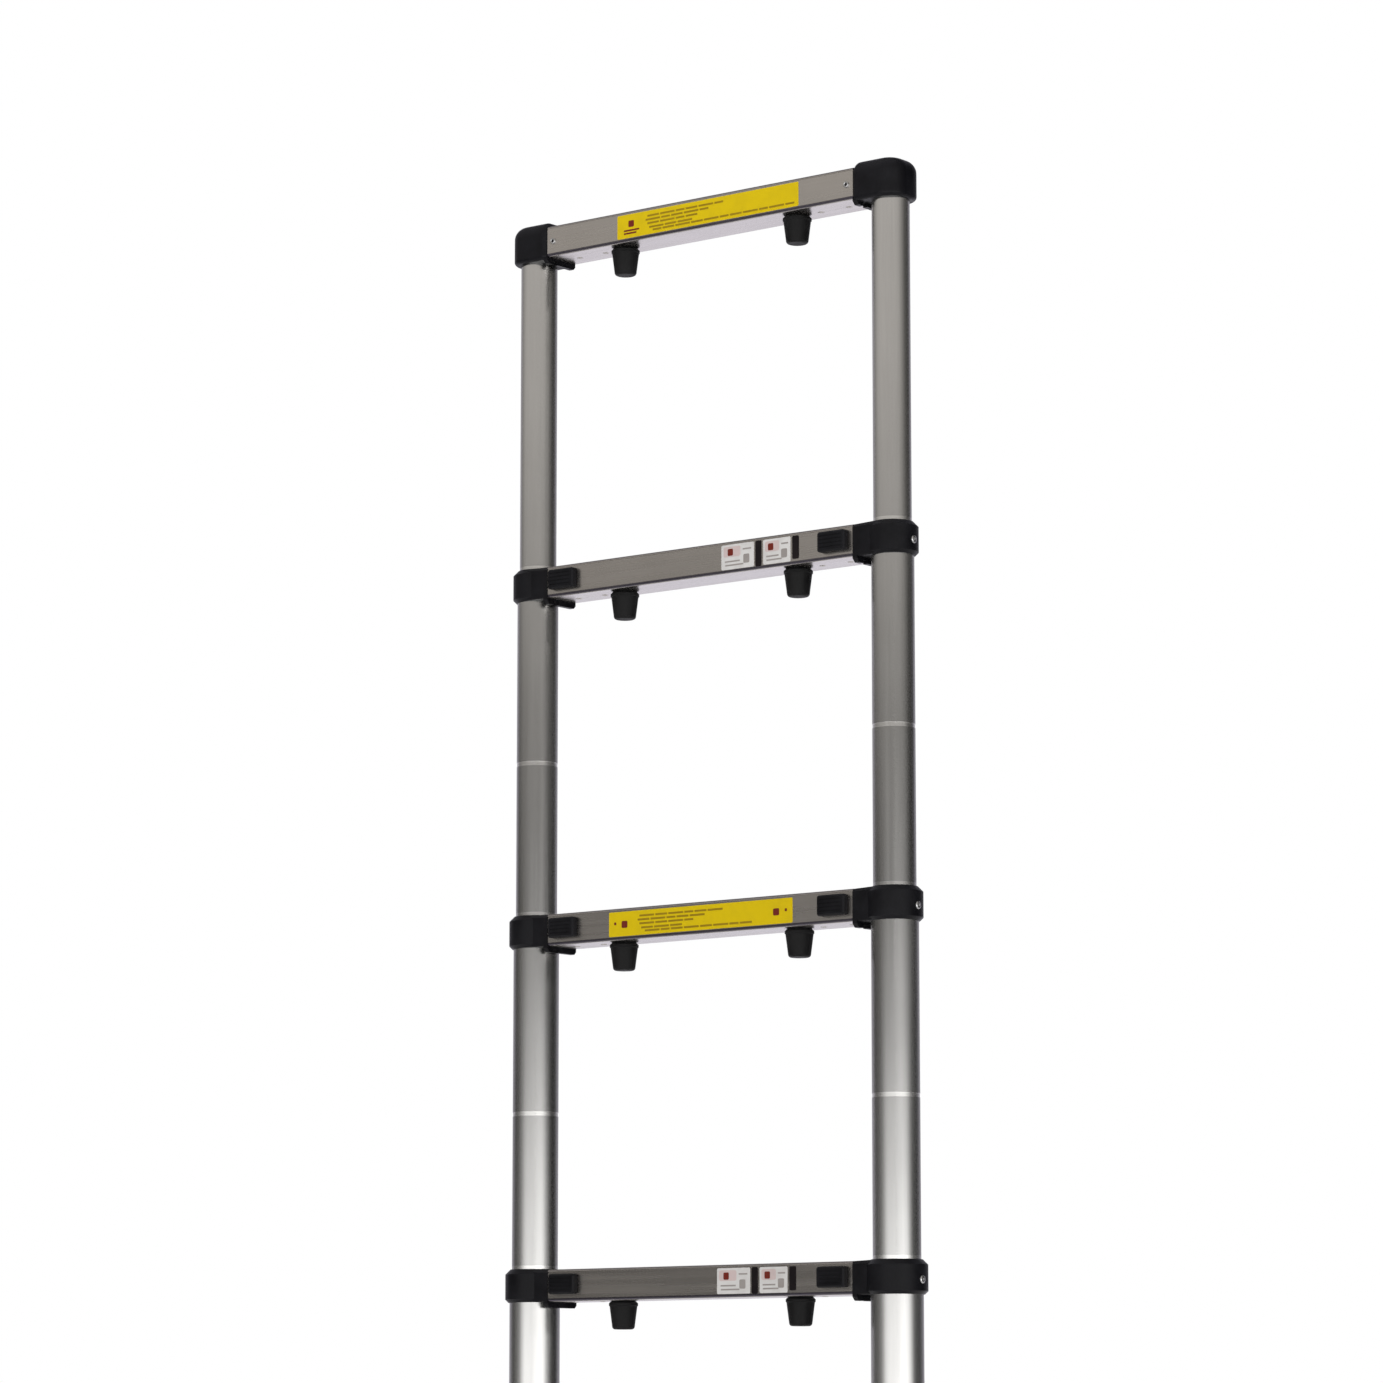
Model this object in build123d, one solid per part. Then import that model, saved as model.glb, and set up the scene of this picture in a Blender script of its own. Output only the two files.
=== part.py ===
from build123d import *
import os

# Telescoping ladder, drawn fully extended. Millimetres, +Z up, -Y is the climber's side.
# The origin is on the floor, midway between the two feet. Section 1 is the lowest and widest,
# and section 9 the highest and thinnest. Each section is a rung between two tubes, and its
# tubes slide down inside the tubes of the section below.

# ---- driving dimensions ----
SECTIONS = 9
STILE_SPACING = 360.0  # between the two tube axes
PITCH = 285.0  # rung top to rung top, extended
FIRST_RUNG_TOP = 320.0  # above the floor

TOP_TUBE_DIAMETER = 30.0
DIAMETER_STEP = 3.5  # each section down is wider by this much
TUBE_WALL = 1.4
TUBE_LENGTH = 350.0  # from the rung's top down to the tube's lower end
TUBE_MARK_DROP = 158.0  # shallow polished ring turned in every tube but the thinnest
TUBE_MARK_HEIGHT = 3.0
TUBE_MARK_DEPTH = 0.25

RUNG_HEIGHT = 25.5
RUNG_DEPTH = 36.0
RUNG_WALL = 1.8
RUNG_CORNER = 1.6
TREAD_GROOVES = 7
TREAD_GROOVE_WIDTH = 1.6
TREAD_GROOVE_DEPTH = 0.7
TREAD_GROOVE_SPACING = 4.4
FACE_LINE_HEIGHT = 0.8  # thin lines rolled along the top and bottom of both upright faces
FACE_LINE_DEPTH = 0.4
FACE_LINE_INSET = 2.2

COLLAR_WALL = 3.5
COLLAR_ABOVE = 1.0  # the collar's ring stands this far above the rung's top
COLLAR_LIP = 2.5  # from the rung's top down to the tube's upper end, under the collar's mouth
COLLAR_CLEARANCE = 0.4  # between the mouth and the tube that slides in it
COLLAR_REACH = 8.5  # the block's inner face lies this far past the tube's surface
COLLAR_SLOPE = 4.0  # wide chamfer round the ring's top
COLLAR_EDGE = 2.5  # chamfer round the ring's foot
BLOCK_PROUD = 0.5  # the block stands this far proud of the rung's upright faces
BLOCK_TOP_EDGE = 2.4
BLOCK_EDGE = 0.8
SPIGOT_LENGTH = 12.0  # the part of a collar that plugs into the rung's end
SPIGOT_EDGE = 1.0
SPIGOT_GAP = 0.1
FIT = 0.05

STRIKER_HEIGHT = 4.6  # the bar that hangs under each rung end
STRIKER_WIDTH = 4.2
STRIKER_NOSE = 3.0
STRIKER_TAIL = 2.2
STRIKER_SHOULDER = 1.5
STRIKER_NOTCH = 5.0
STRIKER_NOTCH_DEPTH = 2.4
STRIKER_NOTCH_Y = -7.0

CAP_OUTER = 18.5  # tube axis to the end cap's outer side
CAP_HALF_DEPTH = 20.5  # tube axis to its front and back
CAP_REACH = 8.6
CAP_ABOVE = 5.0
CAP_BELOW = 1.8
CAP_CORNER = 16.5
CAP_EDGE = 10.5
CAP_INNER_EDGE = 4.8
CAP_FOOT_EDGE = 3.4

LOCK_DROP = 11.8  # the lock pin's axis below the rung's top
PIN_DIAMETER = 8.0
PIN_HOLE_DIAMETER = 8.6
PIN_REST_GAP = 0.3  # drawn pin tip to the inner tube
PIN_NOSE = 0.8
LOCK_TRAVEL = 4.2  # from drawn back to fully home
LOCK_EXTRA = 1.0  # how much further back the latch can be pulled
PAD_LENGTH = 26.6
PAD_HEIGHT = 16.0
PAD_THICKNESS = 5.6
PAD_CORNER = 2.0
PAD_EDGE = 1.2
PAD_GAP = 4.4  # pad to collar, drawn back
PAD_CLEARANCE = 0.35
PAD_GROOVES = 4  # fine grip lines along the pad
PAD_GROOVE_WIDTH = 0.9
PAD_GROOVE_DEPTH = 0.45
PAD_GROOVE_SPACING = 3.0
PAD_GROOVE_INSET = 3.0
NECK_LENGTH = 6.0
NECK_HEIGHT = 8.0
CARRIAGE_LENGTH = 12.3
CARRIAGE_HEIGHT = 14.0
CARRIAGE_BACK = 6.0
CARRIAGE_CLEARANCE = 0.5
PIN_SOCKET = 8.0

BUMPER_SPACING = 176.0
BUMPER_HEIGHT = 22.5
BUMPER_TOP_RADIUS = 11.6
BUMPER_BOTTOM_RADIUS = 8.7
BUMPER_HEAD = 4.4
BUMPER_HEAD_EDGE = 2.0
BUMPER_STEP = 0.6
BUMPER_ROUND = 2.4

PLUG_LENGTH = 16.0
PLUG_LEAD = 1.0
PLUG_FLANGE = 3.0
PLUG_VENT_RADIUS = 3.0

FOOT_HEIGHT = 52.0
FOOT_FLOOR = 10.0
FOOT_WALL = 4.0
FOOT_BASE_RADIUS = 38.0
FOOT_BASE_HEIGHT = 12.0
FOOT_EDGE = 1.5
FOOT_SHOULDER_DROP = 3.0
FOOT_SHOULDER_INSET = 2.0
FOOT_NECK_RISE = 6.0
FOOT_FLARE = 0.6
FOOT_GROOVES = (14.0, 21.0, 28.0)
FOOT_GROOVE_WIDTH = 3.0
FOOT_GROOVE_DEPTH = 2.0

# ---- worked-out dimensions ----
AXIS_X = STILE_SPACING / 2
HALF_DEPTH = RUNG_DEPTH / 2
SIDES = (-1, 1)  # -1 is the ladder's left stile, 1 its right
NUMBERS = range(1, SECTIONS + 1)


def tube_radius(n):
    return (TOP_TUBE_DIAMETER + DIAMETER_STEP * (SECTIONS - n)) / 2


def rung_top(n):
    return FIRST_RUNG_TOP + PITCH * (n - 1)


def block_face(n):
    """The X of the collar or cap face that the rung butts against."""
    reach = COLLAR_REACH if n < SECTIONS else CAP_REACH
    return AXIS_X - tube_radius(n) - reach


def on_both_sides(make, *arguments):
    """The piece made for the right stile, and its mirror image for the left."""
    right = make(*arguments)
    return Compound(children=[mirror(right, about=Plane.YZ), right])


def box_between(x, y, z):
    """A box from three (low, high) pairs."""
    size = [high - low for low, high in (x, y, z)]
    middle = [(high + low) / 2 for low, high in (x, y, z)]
    return Pos(*middle) * Box(*size)


def rod_x(radius, x_from, x_to, z):
    """A round rod along X, from x_from to x_to."""
    middle = Pos((x_from + x_to) / 2, 0, z) * Rot(0, 90, 0)
    return middle * Cylinder(radius, abs(x_to - x_from))


def turned(points):
    """The solid made by turning a closed (radius, height) outline about Z."""
    outline = Plane.XZ * Polygon(*points, align=None)
    return revolve(outline, Axis.Z)


# ---- stiles ----
def tube_low(n):
    return FOOT_FLOOR if n == 1 else rung_top(n) - TUBE_LENGTH


def stile_tube(n):
    """One tube, with its lock holes on the side that faces the rung."""
    radius = tube_radius(n)
    top = rung_top(n) - COLLAR_LIP - FIT
    inner = radius - TUBE_WALL
    mark_top = rung_top(n) - TUBE_MARK_DROP
    mark_low = mark_top - TUBE_MARK_HEIGHT
    waist = radius - TUBE_MARK_DEPTH
    outside = [(radius, tube_low(n)), (radius, top)]
    if n < SECTIONS:
        outside[1:1] = [(radius, mark_low), (waist, mark_low), (waist, mark_top), (radius, mark_top)]
    tube = Pos(AXIS_X, 0, 0) * turned([(inner, tube_low(n)), *outside, (inner, top)])
    hole_radius = PIN_HOLE_DIAMETER / 2
    if n < SECTIONS:
        tube -= rod_x(hole_radius, AXIS_X - 2 * radius, AXIS_X, rung_top(n) - LOCK_DROP)
    if n > 1:
        tube -= rod_x(hole_radius, AXIS_X - 2 * radius, AXIS_X, rung_top(n - 1) - LOCK_DROP)
    return tube


def end_plug(n):
    """The bushing in a tube's lower end, with a vent hole for the trapped air."""
    radius = tube_radius(n)
    low = tube_low(n)
    spigot = radius - TUBE_WALL - FIT
    plug = turned([
        (PLUG_VENT_RADIUS, low - PLUG_FLANGE),
        (radius, low - PLUG_FLANGE),
        (radius, low),
        (spigot, low),
        (spigot, low + PLUG_LENGTH - PLUG_LEAD),
        (spigot - PLUG_LEAD, low + PLUG_LENGTH),
        (PLUG_VENT_RADIUS, low + PLUG_LENGTH),
    ])
    return Pos(AXIS_X, 0, 0) * plug


# ---- rungs ----
def rung_profile():
    """The hollow section of a rung, with the tread on top. Local X is the ladder's depth."""
    outer = RectangleRounded(RUNG_DEPTH, RUNG_HEIGHT, RUNG_CORNER)
    hollow = RectangleRounded(
        RUNG_DEPTH - 2 * RUNG_WALL, RUNG_HEIGHT - 2 * RUNG_WALL, RUNG_CORNER / 2
    )
    profile = outer - hollow
    for k in range(TREAD_GROOVES):
        across = (k - (TREAD_GROOVES - 1) / 2) * TREAD_GROOVE_SPACING
        groove = Rectangle(TREAD_GROOVE_WIDTH, 2 * TREAD_GROOVE_DEPTH)
        profile -= Pos(across, RUNG_HEIGHT / 2) * groove
    for side in SIDES:
        for end in SIDES:
            line = Rectangle(2 * FACE_LINE_DEPTH, FACE_LINE_HEIGHT)
            height = end * (RUNG_HEIGHT / 2 - FACE_LINE_INSET)
            profile -= Pos(side * HALF_DEPTH, height) * line
    return profile


def latch_slot(n):
    """The window in the rung's front face that the latch's neck slides along."""
    neck_middle = block_face(n) - SPIGOT_LENGTH - LOCK_TRAVEL - CARRIAGE_CLEARANCE
    neck_middle -= CARRIAGE_LENGTH / 2
    low = neck_middle - NECK_LENGTH / 2 - LOCK_EXTRA - CARRIAGE_CLEARANCE
    high = neck_middle + NECK_LENGTH / 2 + LOCK_TRAVEL + CARRIAGE_CLEARANCE
    middle = rung_top(n) - LOCK_DROP
    half = NECK_HEIGHT / 2 + CARRIAGE_CLEARANCE
    return box_between(
        (low, high),
        (-HALF_DEPTH - 1, -HALF_DEPTH + RUNG_WALL + 1),
        (middle - half, middle + half),
    )


def rung(n):
    length = 2 * block_face(n)
    start = Plane(origin=(-length / 2, 0, rung_top(n) - RUNG_HEIGHT / 2),
                  x_dir=(0, 1, 0), z_dir=(1, 0, 0))
    bar = extrude(start * rung_profile(), length)
    if n < SECTIONS:
        slot = latch_slot(n)
        bar -= slot
        bar -= mirror(slot, about=Plane.YZ)
    return bar


# ---- collars and end caps ----
def spigot(n):
    """The part of a collar or cap that plugs into the rung's hollow end."""
    face = block_face(n)
    top = rung_top(n) - RUNG_WALL - SPIGOT_GAP
    low = rung_top(n) - RUNG_HEIGHT + RUNG_WALL + SPIGOT_GAP
    half = HALF_DEPTH - RUNG_WALL - SPIGOT_GAP
    plug = box_between((face - SPIGOT_LENGTH, face + 1), (-half, half), (low, top))
    return chamfer(plug.edges().filter_by(Axis.X), SPIGOT_EDGE)


def striker(n):
    """The bar under the rung's end, with a sloping nose and a notch in its underside."""
    high = rung_top(n) - RUNG_HEIGHT
    low = high - STRIKER_HEIGHT
    front = -HALF_DEPTH - BLOCK_PROUD
    face = block_face(n)
    notch = STRIKER_NOTCH_Y
    side = Plane.YZ * Polygon(
        (front, high + 1),
        (front, high - STRIKER_SHOULDER),
        (front + STRIKER_NOSE, low),
        (notch - STRIKER_NOTCH / 2, low),
        (notch - STRIKER_NOTCH / 2, low + STRIKER_NOTCH_DEPTH),
        (notch + STRIKER_NOTCH / 2, low + STRIKER_NOTCH_DEPTH),
        (notch + STRIKER_NOTCH / 2, low),
        (HALF_DEPTH - STRIKER_TAIL, low),
        (HALF_DEPTH, low + STRIKER_TAIL),
        (HALF_DEPTH, high + 1),
        align=None,
    )
    bar = extrude(side, STRIKER_WIDTH)
    return Pos(face, 0, 0) * bar


def collar_block(n):
    """The block that takes the rung's end. Its top rises a little from the rung to the ring."""
    face = block_face(n)
    top = rung_top(n)
    low = top - RUNG_HEIGHT
    outline = Polygon(
        (face, low), (AXIS_X, low), (AXIS_X, top + COLLAR_ABOVE), (face, top), align=None
    )
    block = extrude(Plane.XZ * outline, HALF_DEPTH + BLOCK_PROUD, both=True)
    lower = block.edges().filter_by(Axis.X)
    upper = block.edges() - lower - block.edges().filter_by(Axis.Y) - block.edges().filter_by(Axis.Z)
    block = chamfer(upper, BLOCK_TOP_EDGE)
    return chamfer(block.edges().filter_by(Axis.X), BLOCK_EDGE)


def collar(n):
    """A moulded collar round a tube's upper end, with the block that takes the rung."""
    radius = tube_radius(n)
    top = rung_top(n)
    low = top - RUNG_HEIGHT
    height = RUNG_HEIGHT + COLLAR_ABOVE
    ring = Pos(AXIS_X, 0, low + height / 2) * Cylinder(radius + COLLAR_WALL, height)
    ring = chamfer(ring.edges().group_by(Axis.Z)[-1], COLLAR_SLOPE)
    ring = chamfer(ring.edges().group_by(Axis.Z)[0], COLLAR_EDGE)
    body = ring + collar_block(n) + spigot(n) + striker(n)
    seat_height = RUNG_HEIGHT - COLLAR_LIP + STRIKER_HEIGHT
    seat = Cylinder(radius + FIT, seat_height, align=(Align.CENTER, Align.CENTER, Align.MAX))
    body -= Pos(AXIS_X, 0, top - COLLAR_LIP) * seat
    mouth = tube_radius(n + 1) + COLLAR_CLEARANCE
    body -= Pos(AXIS_X, 0, top) * Cylinder(mouth, 4 * COLLAR_LIP)
    body -= rod_x(PIN_HOLE_DIAMETER / 2, block_face(n) - 2 * SPIGOT_LENGTH, AXIS_X, top - LOCK_DROP)
    return body


def end_cap(n):
    """The closed, rounded cap over the highest tube and the end of the top rung."""
    top = rung_top(n) + CAP_ABOVE
    low = rung_top(n) - RUNG_HEIGHT - CAP_BELOW
    shell = box_between(
        (block_face(n), AXIS_X + CAP_OUTER), (-CAP_HALF_DEPTH, CAP_HALF_DEPTH), (low, top)
    )
    uprights = shell.edges().filter_by(Axis.Z).group_by(Axis.X)
    shell = fillet(uprights[-1], CAP_CORNER)
    top_edges = shell.edges().group_by(Axis.Z)[-1].sort_by(Axis.X)
    shell = fillet(top_edges[1:], CAP_EDGE)
    top_edges = shell.edges().group_by(Axis.Z)[-1].sort_by(Axis.X)
    shell = fillet(top_edges[0], CAP_INNER_EDGE)
    foot_edges = shell.edges().group_by(Axis.Z)[0].sort_by(Axis.X)
    shell = fillet(foot_edges[1:], CAP_FOOT_EDGE)
    body = shell + spigot(n) + striker(n)
    seat = Cylinder(
        tube_radius(n) + FIT, 2 * RUNG_HEIGHT, align=(Align.CENTER, Align.CENTER, Align.MAX)
    )
    return body - Pos(AXIS_X, 0, rung_top(n) - COLLAR_LIP) * seat


# ---- locks ----
def lock(n, side):
    """A thumb latch with the pin it carries, drawn back so that the pin clears the tube."""
    face = block_face(n)
    axis_z = rung_top(n) - LOCK_DROP
    tip = AXIS_X - tube_radius(n + 1) - PIN_REST_GAP
    outer_end = face - SPIGOT_LENGTH - LOCK_TRAVEL - CARRIAGE_CLEARANCE
    inner_end = outer_end - CARRIAGE_LENGTH
    neck_middle = (outer_end + inner_end) / 2
    inside = -HALF_DEPTH + RUNG_WALL + CARRIAGE_CLEARANCE
    pad_back = -HALF_DEPTH - PAD_CLEARANCE
    carriage = box_between(
        (inner_end, outer_end),
        (inside, CARRIAGE_BACK),
        (axis_z - CARRIAGE_HEIGHT / 2, axis_z + CARRIAGE_HEIGHT / 2),
    )
    neck = box_between(
        (neck_middle - NECK_LENGTH / 2, neck_middle + NECK_LENGTH / 2),
        (pad_back - 1, inside + 1),
        (axis_z - NECK_HEIGHT / 2, axis_z + NECK_HEIGHT / 2),
    )
    latch = carriage + neck + latch_pad(face, axis_z, pad_back)
    latch -= rod_x(PIN_DIAMETER / 2 + FIT, outer_end - PIN_SOCKET, outer_end + 1, axis_z)
    pin = rod_x(PIN_DIAMETER / 2, outer_end - PIN_SOCKET, tip, axis_z)
    pin = chamfer(pin.edges().group_by(Axis.X)[-1], PIN_NOSE)
    both = [latch, pin]
    if side < 0:
        both = [mirror(piece, about=Plane.YZ) for piece in both]
    return Compound(children=both)


def latch_pad(face, axis_z, back):
    """The pad that the thumb pushes, with fine lines along it."""
    outer = face - PAD_GAP
    inner = outer - PAD_LENGTH
    front = back - PAD_THICKNESS
    pad = box_between(
        (inner, outer), (front, back), (axis_z - PAD_HEIGHT / 2, axis_z + PAD_HEIGHT / 2)
    )
    pad = fillet(pad.edges().filter_by(Axis.Y), PAD_CORNER)
    pad = chamfer(pad.edges().group_by(Axis.Y)[0], PAD_EDGE)
    for k in range(PAD_GROOVES):
        middle = axis_z + (k - (PAD_GROOVES - 1) / 2) * PAD_GROOVE_SPACING
        pad -= box_between(
            (inner + PAD_GROOVE_INSET, outer - PAD_GROOVE_INSET),
            (front - 1, front + PAD_GROOVE_DEPTH),
            (middle - PAD_GROOVE_WIDTH / 2, middle + PAD_GROOVE_WIDTH / 2),
        )
    return pad


# ---- bumpers and feet ----
def bumper(n):
    """A rubber cone under the rung, which lands on the rung below when the ladder closes."""
    top = rung_top(n) - RUNG_HEIGHT
    low = top - BUMPER_HEIGHT
    cone = turned([
        (0, low),
        (BUMPER_BOTTOM_RADIUS, low),
        (BUMPER_TOP_RADIUS - BUMPER_STEP, top - BUMPER_HEAD),
        (BUMPER_TOP_RADIUS, top - BUMPER_HEAD + BUMPER_STEP),
        (BUMPER_TOP_RADIUS, top - BUMPER_HEAD_EDGE),
        (BUMPER_TOP_RADIUS - BUMPER_HEAD_EDGE, top),
        (0, top),
    ])
    cone = fillet(cone.edges().group_by(Axis.Z)[0], BUMPER_ROUND)
    return Pos(BUMPER_SPACING / 2, 0, 0) * cone


def foot():
    """A rubber boot over the lower end of a bottom tube, with rings in its sole."""
    seat = tube_radius(1) + FIT
    cuff = seat + FOOT_WALL
    boot = turned([
        (0, 0),
        (FOOT_BASE_RADIUS - FOOT_EDGE, 0),
        (FOOT_BASE_RADIUS, FOOT_EDGE),
        (FOOT_BASE_RADIUS, FOOT_BASE_HEIGHT - FOOT_SHOULDER_DROP),
        (FOOT_BASE_RADIUS - FOOT_SHOULDER_INSET, FOOT_BASE_HEIGHT),
        (cuff + FOOT_FLARE, FOOT_BASE_HEIGHT + FOOT_NECK_RISE),
        (cuff, FOOT_HEIGHT - FOOT_EDGE),
        (cuff - FOOT_EDGE, FOOT_HEIGHT),
        (seat, FOOT_HEIGHT),
        (seat, FOOT_FLOOR - FIT),
        (0, FOOT_FLOOR - FIT),
    ])
    for middle in FOOT_GROOVES:
        half = FOOT_GROOVE_WIDTH / 2
        outline = [
            (middle - half, -1),
            (middle + half, -1),
            (middle + half, FOOT_GROOVE_DEPTH),
            (middle - half, FOOT_GROOVE_DEPTH),
        ]
        boot -= turned(outline)
    return Pos(AXIS_X, 0, 0) * boot


# ---- every node ----
def all_nodes():
    nodes = {"feet": on_both_sides(foot)}
    for n in NUMBERS:
        nodes[f"stile_tubes_{n}"] = on_both_sides(stile_tube, n)
        nodes[f"rung_{n}"] = rung(n)
        if n > 1:
            nodes[f"bumpers_{n}"] = on_both_sides(bumper, n)
            nodes[f"end_plugs_{n}"] = on_both_sides(end_plug, n)
        if n < SECTIONS:
            nodes[f"collars_{n}"] = on_both_sides(collar, n)
            nodes[f"lock_left_{n}"] = lock(n, -1)
            nodes[f"lock_right_{n}"] = lock(n, 1)
        else:
            nodes[f"end_caps_{n}"] = on_both_sides(end_cap, n)
    return nodes


os.makedirs("parts", exist_ok=True)
for name, shape in all_nodes().items():
    export_step(shape, f"parts/{name}.step")
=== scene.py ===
import math

import bmesh
import bpy
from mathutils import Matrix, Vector


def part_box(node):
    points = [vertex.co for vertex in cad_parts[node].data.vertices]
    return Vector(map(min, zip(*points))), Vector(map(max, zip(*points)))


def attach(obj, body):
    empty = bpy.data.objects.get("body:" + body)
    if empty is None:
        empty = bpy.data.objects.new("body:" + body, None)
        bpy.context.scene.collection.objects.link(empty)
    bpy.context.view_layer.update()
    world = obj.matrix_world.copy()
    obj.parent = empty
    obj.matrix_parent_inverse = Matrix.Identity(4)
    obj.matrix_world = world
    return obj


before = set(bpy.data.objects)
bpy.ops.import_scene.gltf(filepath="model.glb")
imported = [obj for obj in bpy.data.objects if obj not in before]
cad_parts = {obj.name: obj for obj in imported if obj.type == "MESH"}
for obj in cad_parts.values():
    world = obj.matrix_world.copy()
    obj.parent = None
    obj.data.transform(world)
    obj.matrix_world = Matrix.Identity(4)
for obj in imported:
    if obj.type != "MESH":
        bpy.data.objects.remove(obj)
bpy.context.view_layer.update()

# ---- sizes in metres, all but the bumper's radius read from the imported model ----
SECTIONS = sum(name.startswith("rung_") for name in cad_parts)
RUNG_BOX = {n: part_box(f"rung_{n}") for n in range(1, SECTIONS + 1)}
RUNG_TOP = {n: RUNG_BOX[n][1][2] for n in RUNG_BOX}
RUNG_HEIGHT = RUNG_BOX[1][1][2] - RUNG_BOX[1][0][2]
TOP_RUNG_END = RUNG_BOX[SECTIONS][1][0]
FRONT = RUNG_BOX[1][0][1]
PITCH = RUNG_TOP[2] - RUNG_TOP[1]
BUMPER_RADIUS = 0.0116
BUMPER_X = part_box("bumpers_2")[1][0] - BUMPER_RADIUS
SIDES = (-1, 1)

# ---- marks on the metal, in metres ----
HIGHLIGHT_RING_DROP = 0.1595  # from the rung above down to a tube's bright ring, a painted highlight of its rolled groove
HIGHLIGHT_RING_HALF_WIDTH = 0.0017
BAND_HEIGHT = 0.0038  # bright band where a tube leaves its collar
BAND_SHARE = 0.55  # how bright it is beside the ring
LOWER_SHADE_LINE = 0.0022  # painted shade: dark line along a rung's lower edge, for the dark its rounded corner reflects
LOWER_SHADE_LINE_RISE = 0.00035
UPPER_SHADE_LINE_DROP = 0.0009  # fainter painted shade line under its upper edge
UPPER_SHADE_LINE_HALF_WIDTH = 0.0005
UPPER_SHADE_LINE_SHARE = 0.6

# ---- fasteners, in metres ----
ROUND_STEPS = 28
SCREW_RADIUS = 0.0031
SCREW_HEIGHT = 0.0014
# Pairs of (share of the radius, height) up a screw's head.
SCREW_OUTLINE = ((1.0, 0.0), (1.0, 0.0006), (0.9, 0.0010), (0.6, 0.00135), (0.34, SCREW_HEIGHT))
SCREW_RECESS = 0.0009
SCREW_DROP = 0.0145  # from the rung's top, as every drop here
SCREW_SEAT = 0.0003  # how deep it is set into the surface
CAP_RIVET_RADIUS = 0.0025
CAP_RIVET_HEIGHT = 0.0009
CAP_RIVET_LIFT = 0.0005
CAP_RIVET_SKIRT = 0.0006
CAP_RIVET_FROM_END = 0.0062
CAP_RIVET_DROP = 0.0130
STUB_RADIUS = 0.00125
STUB_HEIGHT = 0.0004
UNDERSIDE_RIVET_RADIUS = 0.0028
UNDERSIDE_RIVET_HEIGHT = 0.0007
UNDERSIDE_RIVET_REACHES = (0.0225, 0.050)  # outward from the bumper's middle
UNDERSIDE_RIVET_BACK = 0.002
UNDERSIDE_RIVET_SEAT = 0.0001


# ---- small node helpers ----
def new_material(name):
    material = bpy.data.materials.new(name)
    material.use_nodes = True
    tree = material.node_tree
    shader = next(node for node in tree.nodes if node.type == "BSDF_PRINCIPLED")
    return material, tree, shader


def object_coords(tree, scale=(1.0, 1.0, 1.0)):
    """Object coordinates, stretched by scale."""
    coords = tree.nodes.new("ShaderNodeTexCoord")
    mapping = tree.nodes.new("ShaderNodeMapping")
    mapping.inputs["Scale"].default_value = scale
    tree.links.new(coords.outputs["Object"], mapping.inputs["Vector"])
    return mapping.outputs["Vector"]


def noise(tree, vector, scale, detail, roughness=0.55):
    node = tree.nodes.new("ShaderNodeTexNoise")
    node.inputs["Scale"].default_value = scale
    node.inputs["Detail"].default_value = detail
    node.inputs["Roughness"].default_value = roughness
    tree.links.new(vector, node.inputs["Vector"])
    return node.outputs["Fac"]


def remap(tree, value, span, smooth=False):
    """Maps a value by a span, which is (from low, from high, to low, to high)."""
    node = tree.nodes.new("ShaderNodeMapRange")
    node.interpolation_type = "SMOOTHSTEP" if smooth else "LINEAR"
    for socket, number in zip(("From Min", "From Max", "To Min", "To Max"), span):
        node.inputs[socket].default_value = number
    tree.links.new(value, node.inputs["Value"])
    return node.outputs["Result"]


def math_node(tree, operation, a, b):
    node = tree.nodes.new("ShaderNodeMath")
    node.operation = operation
    for socket, value in zip(node.inputs, (a, b)):
        if isinstance(value, (int, float)):
            socket.default_value = value
        else:
            tree.links.new(value, socket)
    return node.outputs["Value"]


def within(tree, value, middle, reach):
    """1 where the value is within reach of the middle, and 0 elsewhere."""
    output = math_node(tree, "COMPARE", value, middle)
    output.node.inputs[2].default_value = reach
    return output


def mix_colour(tree, factor, a, b):
    node = tree.nodes.new("ShaderNodeMix")
    node.data_type = "RGBA"
    for socket in node.inputs:
        if socket.name in ("A", "B") and socket.type == "RGBA":
            value = a if socket.name == "A" else b
            if isinstance(value, tuple):
                socket.default_value = (*value, 1.0)
            else:
                tree.links.new(value, socket)
    tree.links.new(factor, node.inputs["Factor"])
    return next(out for out in node.outputs if out.type == "RGBA")


def heights(tree, level):
    """Height, and height above a level counted anew from every rung, which is negative below the level."""
    split = tree.nodes.new("ShaderNodeSeparateXYZ")
    tree.links.new(object_coords(tree), split.inputs["Vector"])
    height = split.outputs["Z"]
    above = math_node(tree, "SUBTRACT", height, level)
    return height, math_node(tree, "MODULO", above, PITCH)


def dress(tree, shader, tone, rough, relief, strength, depth=0.0002):
    """Gives the shader its colour and roughness, and a fine relief in its normal."""
    tree.links.new(tone, shader.inputs["Base Color"])
    tree.links.new(rough, shader.inputs["Roughness"])
    node = tree.nodes.new("ShaderNodeBump")
    node.inputs["Strength"].default_value = strength
    node.inputs["Distance"].default_value = depth
    tree.links.new(relief, node.inputs["Height"])
    tree.links.new(node.outputs["Normal"], shader.inputs["Normal"])


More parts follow.
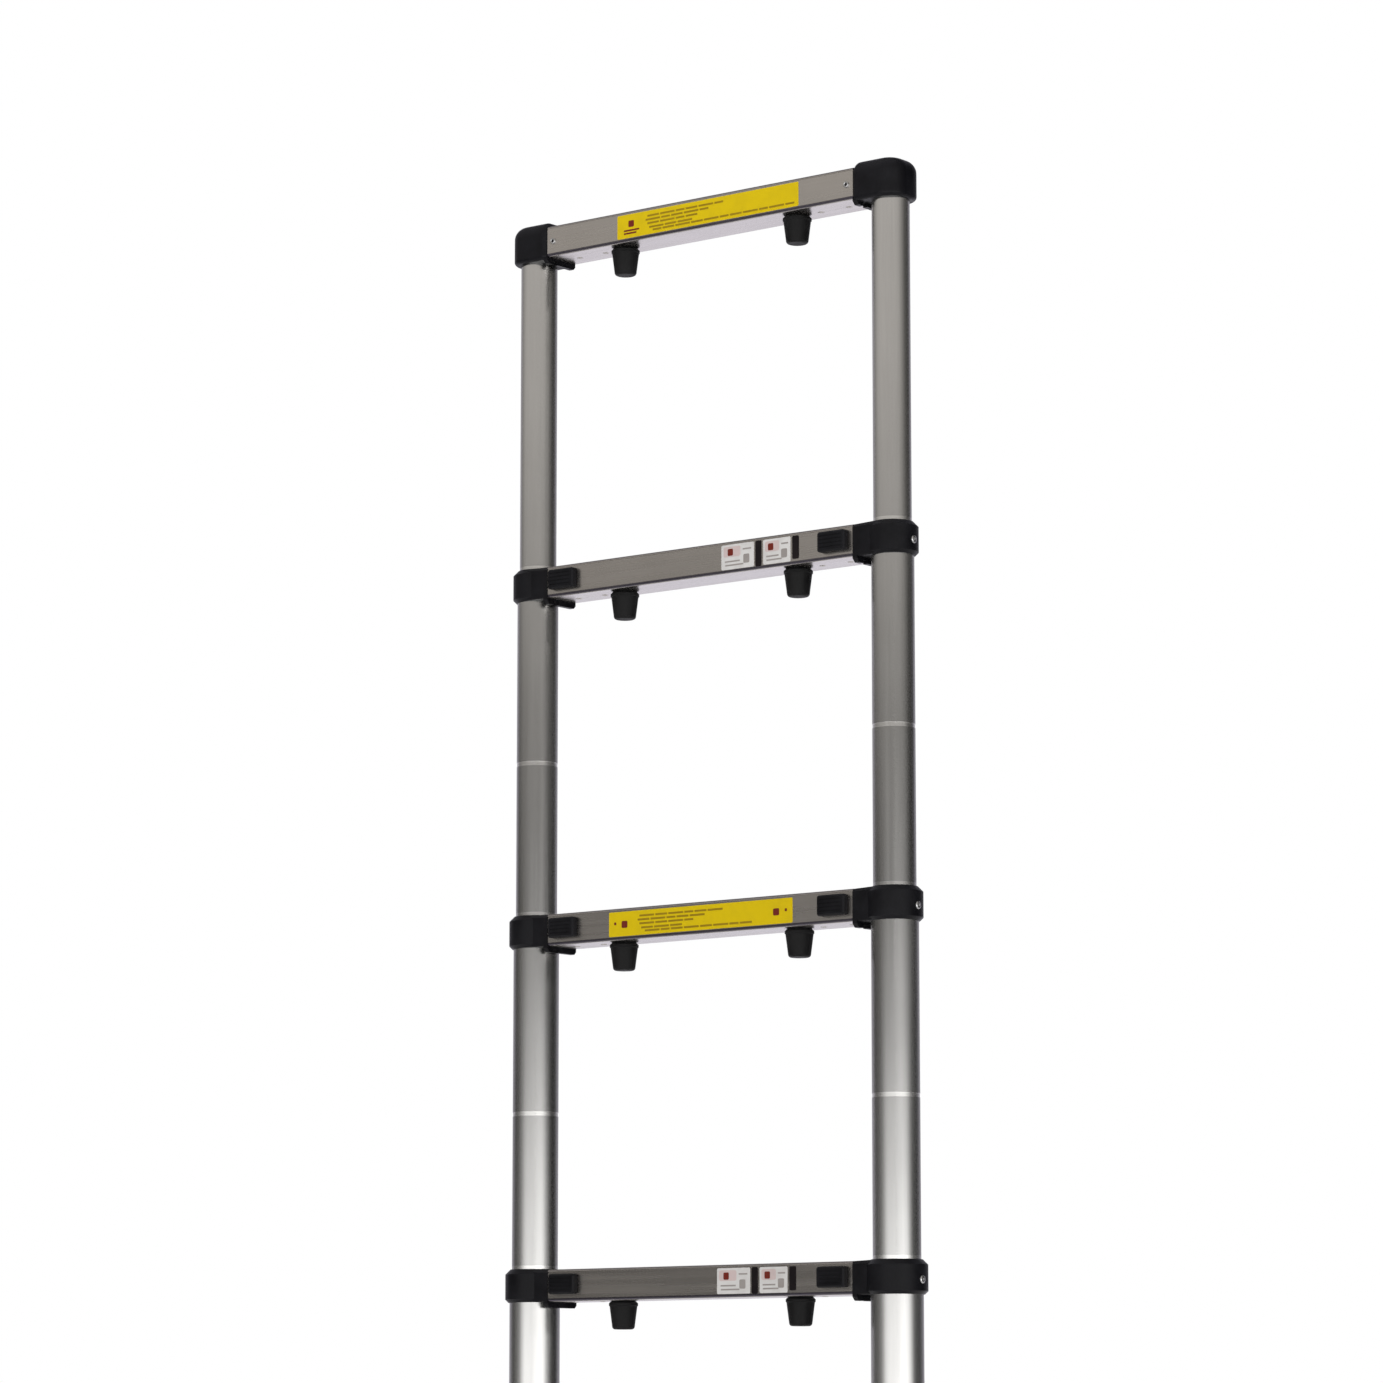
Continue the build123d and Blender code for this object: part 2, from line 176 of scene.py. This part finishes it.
# ---- materials ----
def tube_material():
    """Satin anodised drawn tube: fine lines, a bright ring painted as a highlight of its rolled groove,
    and a bright band above each collar.
    """
    material, tree, shader = new_material("anodised_tube_satin")
    shader.inputs["Metallic"].default_value = 1.0
    shader.inputs["Anisotropic"].default_value = 0.9
    shader.inputs["Anisotropic Rotation"].default_value = 0.25
    lengthways = tree.nodes.new("ShaderNodeCombineXYZ")
    lengthways.inputs["Z"].default_value = 1.0
    tree.links.new(lengthways.outputs["Vector"], shader.inputs["Tangent"])
    drawn = object_coords(tree, (1.0, 1.0, 0.02))
    fine = noise(tree, drawn, 900.0, 4.0)
    broad = noise(tree, drawn, 120.0, 2.0)
    cloud = noise(tree, object_coords(tree), 14.0, 2.0)
    height, above_rung = heights(tree, RUNG_TOP[1])
    ring = within(tree, above_rung, PITCH - HIGHLIGHT_RING_DROP, HIGHLIGHT_RING_HALF_WIDTH)
    has_ring = math_node(tree, "LESS_THAN", height, RUNG_TOP[SECTIONS - 1])
    ring = math_node(tree, "MULTIPLY", ring, has_ring)
    # Under the lowest rung above_rung is negative, so there the whole tube is as bright as the band.
    band = math_node(tree, "LESS_THAN", above_rung, BAND_HEIGHT)
    bright = math_node(tree, "MAXIMUM", ring, math_node(tree, "MULTIPLY", band, BAND_SHARE))
    tone = mix_colour(tree, fine, (0.52, 0.515, 0.505), (0.60, 0.595, 0.585))
    tone = mix_colour(tree, remap(tree, cloud, (0.35, 0.65, 0.0, 0.35)), tone, (0.49, 0.485, 0.475))
    # Painted highlight: the near-white colour on each ring stands in for the light its rolled groove
    # catches.
    tone = mix_colour(tree, bright, tone, (0.92, 0.91, 0.89))
    dress(tree, shader, tone, remap(tree, broad, (0.3, 0.7, 0.21, 0.27)), fine, 0.05)
    return material


def rung_material():
    """Satin anodised extrusion: fine die lines along it, and painted shade at each edge of its face."""
    material, tree, shader = new_material("rung_extrusion_satin")
    shader.inputs["Metallic"].default_value = 1.0
    along = object_coords(tree, (0.02, 1.0, 1.0))
    fine = noise(tree, along, 1100.0, 4.0)
    broad = noise(tree, along, 160.0, 2.0)
    cloud = noise(tree, object_coords(tree), 22.0, 3.0)
    tone = mix_colour(tree, fine, (0.43, 0.405, 0.38), (0.50, 0.475, 0.45))
    tone = mix_colour(tree, remap(tree, cloud, (0.4, 0.65, 0.0, 0.3)), tone, (0.40, 0.38, 0.36))
    above_foot = heights(tree, RUNG_TOP[1] - RUNG_HEIGHT)[1]
    # Painted shade: dark lines along the lower and upper edges of each rung's face stand in for shade and
    # dark reflection at its rounded corners.
    lower_shade = within(tree, above_foot, LOWER_SHADE_LINE / 2 + LOWER_SHADE_LINE_RISE, LOWER_SHADE_LINE / 2)
    upper_shade = within(tree, above_foot, RUNG_HEIGHT - UPPER_SHADE_LINE_DROP, UPPER_SHADE_LINE_HALF_WIDTH)
    edge_shade = math_node(tree, "MAXIMUM", lower_shade, math_node(tree, "MULTIPLY", upper_shade, UPPER_SHADE_LINE_SHARE))
    tone = mix_colour(tree, edge_shade, tone, (0.13, 0.12, 0.145))
    dress(tree, shader, tone, remap(tree, broad, (0.3, 0.7, 0.24, 0.30)), fine, 0.06)
    return material


def moulded_material(name, dark, light, rough_range, grain_scale, grain):
    """Moulded plastic or rubber: a fine grain, faint mottling, and scuffs that catch the light."""
    material, tree, shader = new_material(name)
    shader.inputs["Specular IOR Level"].default_value = 0.14
    coords = object_coords(tree)
    fine = noise(tree, coords, grain_scale, 4.0, 0.6)
    cloud = noise(tree, coords, 60.0, 3.0)
    scuff = noise(tree, object_coords(tree, (1.0, 0.35, 1.0)), 260.0, 5.0, 0.7)
    tone = mix_colour(tree, remap(tree, cloud, (0.35, 0.65, 0.0, 1.0)), dark, light)
    tone = mix_colour(tree, remap(tree, scuff, (0.66, 0.8, 0.0, 0.14)), tone, (0.07, 0.07, 0.072))
    rough = remap(tree, cloud, (0.35, 0.65, *rough_range))
    dress(tree, shader, tone, rough, fine, grain, 0.0004)
    return material


def steel_material():
    """Zinc-plated steel, faintly clouded."""
    material, tree, shader = new_material("zinc_plated_steel")
    shader.inputs["Metallic"].default_value = 1.0
    cloud = noise(tree, object_coords(tree), 700.0, 3.0)
    tone = mix_colour(tree, cloud, (0.42, 0.42, 0.43), (0.58, 0.58, 0.58))
    dress(tree, shader, tone, remap(tree, cloud, (0.3, 0.7, 0.22, 0.36)), cloud, 0.05)
    return material


def film_material(name, base, worn):
    """Printed vinyl film: a nearly flat colour with a soft sheen and faint wear."""
    material, tree, shader = new_material(name)
    shader.inputs["Specular IOR Level"].default_value = 0.15
    cloud = noise(tree, object_coords(tree), 90.0, 4.0)
    grain = noise(tree, object_coords(tree), 1500.0, 2.0)
    tone = mix_colour(tree, remap(tree, cloud, (0.4, 0.75, 0.0, 0.6)), base, worn)
    dress(tree, shader, tone, remap(tree, cloud, (0.3, 0.7, 0.38, 0.5)), grain, 0.03)
    return material


MATERIALS = {
    "tube": tube_material(),
    "rung": rung_material(),
    "nylon": moulded_material(
        "black_nylon_moulded",
        (0.0035, 0.0035, 0.0048), (0.0065, 0.0065, 0.0085),
        (0.36, 0.50), 1600.0, 0.12,
    ),
    "rubber": moulded_material(
        "black_rubber_moulded",
        (0.0055, 0.0055, 0.0058), (0.011, 0.011, 0.0115),
        (0.50, 0.66), 1100.0, 0.18,
    ),
    "steel": steel_material(),
    "yellow": film_material("film_yellow", (0.61, 0.45, 0.002), (0.52, 0.38, 0.004)),
    "white": film_material("film_white", (0.60, 0.595, 0.59), (0.46, 0.445, 0.44)),
    "ink": film_material("film_dark_ink", (0.006, 0.004, 0.005), (0.014, 0.010, 0.010)),
    "ochre": film_material("film_ochre_ink", (0.26, 0.17, 0.006), (0.33, 0.22, 0.008)),
    "grey": film_material("film_grey_ink", (0.27, 0.25, 0.24), (0.34, 0.32, 0.31)),
    "rose": film_material("film_rose_ink", (0.54, 0.445, 0.44), (0.46, 0.39, 0.385)),
    "red": film_material("film_red_ink", (0.145, 0.017, 0.011), (0.12, 0.022, 0.014)),
}


def node_material(name):
    if name.startswith("stile_tubes"):
        return MATERIALS["tube"]
    if name.startswith("rung"):
        return MATERIALS["rung"]
    if name.startswith(("bumpers", "feet")):
        return MATERIALS["rubber"]
    return MATERIALS["nylon"]


for node_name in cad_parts:
    cad = bpy.data.objects[node_name]
    for material_slot in cad.material_slots:
        material_slot.material = node_material(node_name)


# ---- mesh helpers ----
SMOOTH_ANGLE = math.radians(35.0)


def finish_piece(name, mesh, material, body):
    mesh.normal_update()
    data = bpy.data.meshes.new(name)
    mesh.to_mesh(data)
    mesh.free()
    for polygon in data.polygons:
        polygon.use_smooth = True
    data.set_sharp_from_angle(angle=SMOOTH_ANGLE)
    data.materials.append(MATERIALS[material])
    piece = bpy.data.objects.new(name, data)
    bpy.context.scene.collection.objects.link(piece)
    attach(piece, body)


def frame_at(origin, normal, up):
    """A place on a surface: its origin, and the unit directions across, up and out."""
    out = Vector(normal).normalized()
    across = Vector(up).cross(out).normalized()
    return Vector(origin), across, out.cross(across), out


def around(place, angle):
    """The unit direction at an angle about a place's normal."""
    _, across, up, _ = place
    return across * math.cos(angle) + up * math.sin(angle)


def bridge(mesh, low, high):
    """Faces between two rings of the same number of points, or from a ring to a single point."""
    count = len(low)
    for k in range(count):
        following = (k + 1) % count
        if len(high) == 1:
            mesh.faces.new((low[k], low[following], high[0]))
        else:
            mesh.faces.new((low[k], low[following], high[following], high[k]))


def add_lathe(mesh, place, outline, steps=ROUND_STEPS):
    """Turns (radius, height) pairs about a place's normal. Closes the base, and returns the last ring."""
    origin, _, _, out = place
    rings = []
    for radius, height in outline:
        if radius == 0:
            rings.append([mesh.verts.new(origin + out * height)])
            continue
        ring = []
        for k in range(steps):
            side = around(place, 2 * math.pi * k / steps)
            ring.append(mesh.verts.new(origin + side * radius + out * height))
        rings.append(ring)
    mesh.faces.new(list(reversed(rings[0])))
    for low, high in zip(rings, rings[1:]):
        bridge(mesh, low, high)
    return rings[-1]


def rounded_rectangle(width, height, corner, steps=5):
    """Points round a rectangle with rounded corners."""
    outline = []
    for turn, (sx, sy) in enumerate(((1, 1), (-1, 1), (-1, -1), (1, -1))):
        for k in range(steps + 1):
            angle = math.pi / 2 * (turn + k / steps)
            outline.append((
                sx * (width / 2 - corner) + corner * math.cos(angle),
                sy * (height / 2 - corner) + corner * math.sin(angle),
            ))
    return outline


def add_plate(mesh, place, width, height, thickness, corner):
    """A thin plate with rounded corners and a bevelled rim, lying on a surface."""
    origin, across, up, out = place
    outline = rounded_rectangle(width, height, corner)
    bevel = thickness * 0.4
    rims = []
    for inset, lift in ((0.0, 0.0), (0.0, thickness - bevel), (bevel, thickness)):
        scale_x = 1 - 2 * inset / width
        scale_y = 1 - 2 * inset / height
        rims.append([
            mesh.verts.new(origin + across * x * scale_x + up * y * scale_y + out * lift)
            for x, y in outline
        ])
    for low, high in zip(rims, rims[1:]):
        bridge(mesh, low, high)
    mesh.faces.new(rims[-1])
    mesh.faces.new(list(reversed(rims[0])))


# ---- fasteners ----
def cross_screw(mesh, place, radius):
    """A pan head with a cross recess."""
    rim = add_lathe(mesh, place, [(radius * share, height) for share, height in SCREW_OUTLINE])
    origin, _, _, out = place
    floor = []
    for k in range(ROUND_STEPS):
        angle = 2 * math.pi * k / ROUND_STEPS
        arm = max(abs(math.cos(angle)), abs(math.sin(angle))) ** 6
        reach = radius * (0.08 + 0.2 * arm)
        spot = origin + around(place, angle) * reach + out * (SCREW_HEIGHT - SCREW_RECESS)
        floor.append(mesh.verts.new(spot))
    bridge(mesh, rim, floor)
    mesh.faces.new(floor)


def dome_rivet(mesh, place, radius, height):
    """A low dome."""
    outline = [(radius, 0.0)]
    for k in range(1, 7):
        angle = math.pi / 2 * k / 7
        outline.append((radius * math.cos(angle), height * math.sin(angle)))
    outline.append((0, height))
    add_lathe(mesh, place, outline, 20)


def hollow_rivet(mesh, place, radius, height, skirt):
    """A pop rivet's head: a skirt, and a rounded rim round the hole that its pin has left."""
    outline = [(radius, -skirt), (radius, 0.0)]
    for k in range(1, 7):
        angle = math.pi * k / 7
        outline.append((radius * (0.74 + 0.26 * math.cos(angle)), height * math.sin(angle) ** 0.7))
    outline += [(radius * 0.46, 0.0), (radius * 0.44, -skirt * 0.7), (0, -skirt * 0.72)]
    add_lathe(mesh, place, outline, 24)


def add_collar_screws(n):
    """A screw in the outer side of each collar."""
    mesh = bmesh.new()
    for side in SIDES:
        spot = (side * (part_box(f"collars_{n}")[1][0] - SCREW_SEAT), 0, RUNG_TOP[n] - SCREW_DROP)
        cross_screw(mesh, frame_at(spot, (side, 0, 0), (0, 0, 1)), SCREW_RADIUS)
    finish_piece(f"collar_screws_{n}", mesh, "steel", f"section_{n}")


def add_cap_rivets(n):
    """A hollow rivet beside each end cap, with the stub of its pin inside, coloured near-black as painted
    shade in its hole.
    """
    rivets = bmesh.new()
    shaded_pin_stubs = bmesh.new()
    for side in SIDES:
        x = side * (TOP_RUNG_END - CAP_RIVET_FROM_END)
        z = RUNG_TOP[n] - CAP_RIVET_DROP
        lifted = frame_at((x, FRONT - CAP_RIVET_LIFT, z), (0, -1, 0), (0, 0, 1))
        hollow_rivet(rivets, lifted, CAP_RIVET_RADIUS, CAP_RIVET_HEIGHT, CAP_RIVET_SKIRT)
        flat = frame_at((x, FRONT, z), (0, -1, 0), (0, 0, 1))
        dome_rivet(shaded_pin_stubs, flat, STUB_RADIUS, STUB_HEIGHT)
    finish_piece("cap_rivets", rivets, "steel", f"section_{n}")
    # Painted shade: the pin stubs take the near-black ink to darken the rivets' holes.
    finish_piece("cap_rivet_pin_stubs_painted_shade", shaded_pin_stubs, "ink", f"section_{n}")


def add_underside_rivets(n):
    """Two flat rivets in the rung's underside, outward of each bumper."""
    mesh = bmesh.new()
    for side in SIDES:
        for reach in UNDERSIDE_RIVET_REACHES:
            z = RUNG_TOP[n] - RUNG_HEIGHT + UNDERSIDE_RIVET_SEAT
            spot = (side * (BUMPER_X + reach), UNDERSIDE_RIVET_BACK, z)
            place = frame_at(spot, (0, 0, -1), (0, 1, 0))
            dome_rivet(mesh, place, UNDERSIDE_RIVET_RADIUS, UNDERSIDE_RIVET_HEIGHT)
    finish_piece(f"underside_rivets_{n}", mesh, "rung", f"section_{n}")


for section in RUNG_BOX:
    if section < SECTIONS:
        add_collar_screws(section)
    else:
        add_cap_rivets(section)
    add_underside_rivets(section)


# ---- stickers: blank panels with plain bars, no lettering ----
# A plate is (x, height from the rung's middle, width, height, layer), in metres.
PANEL, PRINT, OVERPRINT = range(3)
FILM = 0.00018
INK = FILM * 0.35
FILM_LIFT = 0.00002
PANEL_CORNER = 0.0012

TOP_YELLOW_ENDS = (-0.082, 0.103)
YELLOW_ENDS = (-0.089, 0.095)
YELLOW_HEIGHT = 0.0197
YELLOW_BAR = 0.0016
YELLOW_BAR_GAP = 0.0012
# A row is (height from the middle, begin, end), the last two as shares of the panel's width.
BAR_ROWS = ((0.0056, 0.17, 0.55), (0.0025, 0.16, 0.48), (-0.0006, 0.17, 0.44), (-0.0040, 0.18, 0.40))
TOP_LOW_ROW = (-0.0066, 0.20, 0.94)
LOW_ROW = (-0.0066, 0.20, 0.74)

WHITE_PANELS = ((0.0415, 0.0325), (0.0805, 0.0270))  # (x, width)
WHITE_HEIGHT = 0.0200
DARK_BANDS = ((0.0622, 0.0, 0.0062, 0.0205), (0.0990, 0.0008, 0.0066, 0.0185))
WHITE_BAR = 0.0012
WHITE_DRIFT = 0.0025  # toward -X for each section below the first pair


def film_piece(name, n, colour, plates):
    """One ink on one rung."""
    mesh = bmesh.new()
    for x, z, width, height, layer in plates:
        corner = min(width, height) * 0.2 if layer else PANEL_CORNER
        thickness = INK if layer else FILM
        lift = FILM + INK * (layer - 1) if layer else 0.0
        spot = (x, FRONT - FILM_LIFT - lift, RUNG_TOP[n] - RUNG_HEIGHT / 2 + z)
        add_plate(mesh, frame_at(spot, (0, -1, 0), (0, 0, 1)), width, height, thickness, corner)
    finish_piece(name, mesh, colour, f"section_{n}")


def bar_length(start):
    """One of three lengths, in an uneven order."""
    return 0.009 + 0.003 * (round(start * 997) % 3)


def yellow_bars(low, width, rows):
    """Broken rows of thin bars."""
    bars = []
    for z, begin, end in rows:
        start = low + begin * width
        while start < low + end * width:
            length = bar_length(start)
            bars.append((start + length / 2, z, length, YELLOW_BAR, PRINT))
            start += length + YELLOW_BAR_GAP
    return bars


def yellow_sticker(n, low, high, low_row, marks):
    """A yellow panel with broken rows of thin bars and small marks beside them."""
    width = high - low
    panel = ((low + high) / 2, 0.0, width, YELLOW_HEIGHT, PANEL)
    film_piece(f"sticker_panel_{n}", n, "yellow", [panel])
    film_piece(f"sticker_bars_{n}", n, "ochre", yellow_bars(low, width, (*BAR_ROWS, low_row)))
    film_piece(f"sticker_marks_{n}", n, "red", marks)


def top_marks(low):
    """A square over two short bars, near the panel's left end."""
    return [
        (low + 0.0145, 0.0018, 0.0058, 0.0054, PRINT),
        (low + 0.0150, -0.0036, 0.0160, 0.0014, PRINT),
        (low + 0.0135, -0.0060, 0.0130, 0.0014, PRINT),
    ]


def end_marks(low, high):
    """A square and a dot at both ends of a panel."""
    marks = []
    for end, inward in ((low, 1), (high, -1)):
        marks.append((end + inward * 0.0160, -0.0004, 0.0060, 0.0056, PRINT))
        marks.append((end + inward * 0.0065, 0.0006, 0.0022, 0.0022, PRINT))
    return marks


def white_stickers(n, shift):
    """Two small white panels with a few bars and marks, each with a dark band beside it."""
    panels = []
    patches = []
    marks = []
    bars = []
    for middle, width in WHITE_PANELS:
        x = middle + shift
        panels.append((x, 0.0, width, WHITE_HEIGHT, PANEL))
        patches.append((x - width * 0.17, 0.0042, width * 0.52, 0.0082, PRINT))
        marks.append((x - width * 0.22, 0.0038, 0.0054, 0.0056, OVERPRINT))
        bars.append((x + width * 0.27, -0.0026, 0.0060, 0.0072, PRINT))
        bars.append((x - width * 0.16, -0.0036, width * 0.46, WHITE_BAR, PRINT))
        bars.append((x - width * 0.10, -0.0066, width * 0.56, WHITE_BAR, PRINT))
        bars.append((x + width * 0.29, 0.0052, width * 0.26, WHITE_BAR, PRINT))
    bands = [(x + shift, z, width, height, PANEL) for x, z, width, height in DARK_BANDS]
    film_piece(f"sticker_panel_{n}", n, "white", panels)
    film_piece(f"sticker_bands_{n}", n, "ink", bands)
    film_piece(f"sticker_patches_{n}", n, "rose", patches)
    film_piece(f"sticker_bars_{n}", n, "grey", bars)
    film_piece(f"sticker_marks_{n}", n, "red", marks)


for section in RUNG_BOX:
    from_top = SECTIONS - section
    if from_top % 2 == 1:
        white_stickers(section, -WHITE_DRIFT * (from_top - 1))
    elif from_top == 0:
        yellow_sticker(section, *TOP_YELLOW_ENDS, TOP_LOW_ROW, top_marks(TOP_YELLOW_ENDS[0]))
    else:
        yellow_sticker(section, *YELLOW_ENDS, LOW_ROW, end_marks(*YELLOW_ENDS))


# ---- floor, light and camera ----
FLOOR_HALF_SIZE = 4.0
OVERHEAD_PLACE = (-0.3, 0.4, 5.5)
OVERHEAD_SIZE = 4.0
OVERHEAD_POWER = 260
CAMERA_SENSOR = 36.0
CAMERA_FOCAL = 5000.0  # in pixels
PICTURE_WIDTH = 1383  # in pixels
CAMERA_PLACE = (2.429, -3.099, RUNG_TOP[SECTIONS] - 0.9954)
CAMERA_YAW = math.radians(38.31)
CAMERA_PITCH = math.radians(8.597)

# The room that surfaces reflect. Turns are in degrees from -Y toward +X. A span, as remap takes it,
# maps how squarely a direction faces a turn, or how far up it points, to a share of that light.
WALL_LIGHT = (0.71, 0.68, 0.645)
WALL_TURN = 13.0
WALL_SPREAD = (-0.60, 0.60, 0.06, 1.0)
WALL_RISE = (0.12, 0.215, 0.16, 1.0)
SWEEP_LIGHT = (2.0, 2.0, 2.0)
SWEEP_TURN = 38.0
SWEEP_SPREAD = (0.30, 0.66, 0.0, 1.0)
SWEEP_CORE_TURN = 65.0
SWEEP_CORE_SPREAD = (0.88, 1.0, 0.0, 0.4)
SWEEP_RISE = (0.0, 0.10, 1.0, 0.0)
BEHIND_LIGHT = (1.16, 1.13, 1.27)
BEHIND_TURN = 218.0
BEHIND_SPREAD = (0.50, 0.80, 0.0, 1.0)
BEHIND_RISE = (-0.24, 0.02, 1.0, 0.45)


def add_floor():
    mesh = bmesh.new()
    bmesh.ops.create_grid(mesh, x_segments=1, y_segments=1, size=FLOOR_HALF_SIZE)
    data = bpy.data.meshes.new("studio_floor")
    mesh.to_mesh(data)
    mesh.free()
    material, tree, shader = new_material("studio_floor_paint")
    cloud = noise(tree, object_coords(tree), 3.0, 4.0)
    tone = mix_colour(tree, cloud, (0.80, 0.80, 0.80), (0.84, 0.84, 0.84))
    tree.links.new(tone, shader.inputs["Base Color"])
    shader.inputs["Roughness"].default_value = 0.7
    data.materials.append(material)
    floor = bpy.data.objects.new("studio_floor", data)
    bpy.context.scene.collection.objects.link(floor)


def facing(tree, direction, turn, span):
    """How squarely a direction faces a turn, from -1 to 1, mapped smoothly by a span."""
    node = tree.nodes.new("ShaderNodeVectorMath")
    node.operation = "DOT_PRODUCT"
    node.inputs[1].default_value = (math.sin(math.radians(turn)), -math.cos(math.radians(turn)), 0)
    tree.links.new(direction, node.inputs[0])
    return remap(tree, node.outputs["Value"], span, True)


def scaled(tree, colour, amount):
    node = tree.nodes.new("ShaderNodeVectorMath")
    node.operation = "SCALE"
    node.inputs[0].default_value = colour
    tree.links.new(amount, node.inputs["Scale"])
    return node.outputs["Vector"]


def total(tree, first, second):
    node = tree.nodes.new("ShaderNodeVectorMath")
    node.operation = "ADD"
    tree.links.new(first, node.inputs[0])
    tree.links.new(second, node.inputs[1])
    return node.outputs["Vector"]


def room_light(tree):
    """A warm wall in front, a bright sweep low down, a bright stretch behind, and dark sides."""
    direction = tree.nodes.new("ShaderNodeTexCoord").outputs["Generated"]
    split = tree.nodes.new("ShaderNodeSeparateXYZ")
    tree.links.new(direction, split.inputs["Vector"])
    rise = split.outputs["Z"]
    wall = facing(tree, direction, WALL_TURN, WALL_SPREAD)
    wall = math_node(tree, "MULTIPLY", wall, remap(tree, rise, WALL_RISE, True))
    sweep = facing(tree, direction, SWEEP_TURN, SWEEP_SPREAD)
    sweep = math_node(tree, "ADD", sweep, facing(tree, direction, SWEEP_CORE_TURN, SWEEP_CORE_SPREAD))
    sweep = math_node(tree, "MULTIPLY", sweep, remap(tree, rise, SWEEP_RISE, True))
    behind = facing(tree, direction, BEHIND_TURN, BEHIND_SPREAD)
    behind = math_node(tree, "MULTIPLY", behind, remap(tree, rise, BEHIND_RISE))
    light = total(tree, scaled(tree, WALL_LIGHT, wall), scaled(tree, SWEEP_LIGHT, sweep))
    return total(tree, light, scaled(tree, BEHIND_LIGHT, behind))


def add_world():
    """Plain white where it is seen directly, and the room's light for everything else."""
    world = bpy.data.worlds.new("studio")
    bpy.context.scene.world = world
    world.use_nodes = True
    tree = world.node_tree
    room = next(node for node in tree.nodes if node.type == "BACKGROUND")
    output = next(node for node in tree.nodes if node.type == "OUTPUT_WORLD")
    tree.links.new(room_light(tree), room.inputs["Color"])
    seen = tree.nodes.new("ShaderNodeBackground")
    seen.inputs["Color"].default_value = (1.0, 1.0, 1.0, 1.0)
    path = tree.nodes.new("ShaderNodeLightPath")
    choose = tree.nodes.new("ShaderNodeMixShader")
    tree.links.new(path.outputs["Is Camera Ray"], choose.inputs["Fac"])
    tree.links.new(room.outputs["Background"], choose.inputs[1])
    tree.links.new(seen.outputs["Background"], choose.inputs[2])
    tree.links.new(choose.outputs["Shader"], output.inputs["Surface"])


def add_overhead():
    """A large soft light above, which surfaces don't mirror."""
    data = bpy.data.lights.new("overhead", "AREA")
    data.shape = "RECTANGLE"
    data.size = OVERHEAD_SIZE
    data.size_y = OVERHEAD_SIZE
    data.energy = OVERHEAD_POWER
    light = bpy.data.objects.new("overhead", data)
    light.location = OVERHEAD_PLACE
    light.rotation_mode = "QUATERNION"
    light.rotation_quaternion = (-Vector(OVERHEAD_PLACE)).to_track_quat("-Z", "Y")
    light.visible_camera = False
    light.visible_glossy = False
    bpy.context.scene.collection.objects.link(light)


def add_camera():
    data = bpy.data.cameras.new("camera")
    data.sensor_width = CAMERA_SENSOR
    data.lens = CAMERA_SENSOR * CAMERA_FOCAL / PICTURE_WIDTH
    camera = bpy.data.objects.new("camera", data)
    camera.location = CAMERA_PLACE
    level = math.cos(CAMERA_PITCH)
    look = Vector((-math.sin(CAMERA_YAW) * level, math.cos(CAMERA_YAW) * level, math.sin(CAMERA_PITCH)))
    camera.rotation_mode = "QUATERNION"
    camera.rotation_quaternion = look.to_track_quat("-Z", "Y")
    bpy.context.scene.collection.objects.link(camera)
    bpy.context.scene.camera = camera


add_floor()
add_world()
add_overhead()
add_camera()
bpy.context.scene.view_settings.view_transform = "Standard"
